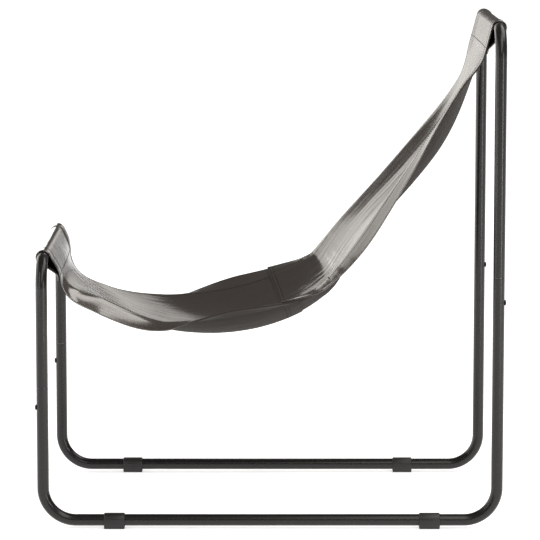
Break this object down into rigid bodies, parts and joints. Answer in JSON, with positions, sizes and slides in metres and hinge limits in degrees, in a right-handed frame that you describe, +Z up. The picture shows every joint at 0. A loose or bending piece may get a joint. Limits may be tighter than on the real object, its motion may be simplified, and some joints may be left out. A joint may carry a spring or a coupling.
{
  "type": "sling lounge chair",
  "caption": "Lounge chair with a leather sling hung by sewn pockets between a low front hoop and a tall rear hoop of a bent black steel tube frame standing on floor rails with push-on glides.",
  "frame": {"origin": "on the floor under the middle of the chair", "axes": "+Z up, the front of the chair towards -Y, +X towards the sitter's left"},
  "size_m": [0.6306, 1.0024, 1.0818],
  "materials": {
    "black_powder_coat": "satin",
    "bare_steel": "plain",
    "black_bolt": "satin",
    "glide_rubber": "matt",
    "sling_leather": "waxed gloss"
  },
  "bodies": {
    "root": {"front_hoop": "black_powder_coat", "rear_hoop": "black_powder_coat", "left_side_rail": "black_powder_coat", "right_side_rail": "black_powder_coat", "front_left_spigot": "bare_steel", "front_right_spigot": "bare_steel", "rear_left_spigot": "bare_steel", "rear_right_spigot": "bare_steel", "front_left_bolt": "black_bolt", "front_right_bolt": "black_bolt", "rear_left_bolt": "black_bolt", "rear_right_bolt": "black_bolt", "front_left_nut": "bare_steel", "front_right_nut": "bare_steel", "rear_left_nut": "bare_steel", "rear_right_nut": "bare_steel", "front_left_glide": "glide_rubber", "front_right_glide": "glide_rubber", "rear_left_glide": "glide_rubber", "rear_right_glide": "glide_rubber", "seat_panel": "sling_leather", "back_panel": "sling_leather"}
  },
  "joints": []
}
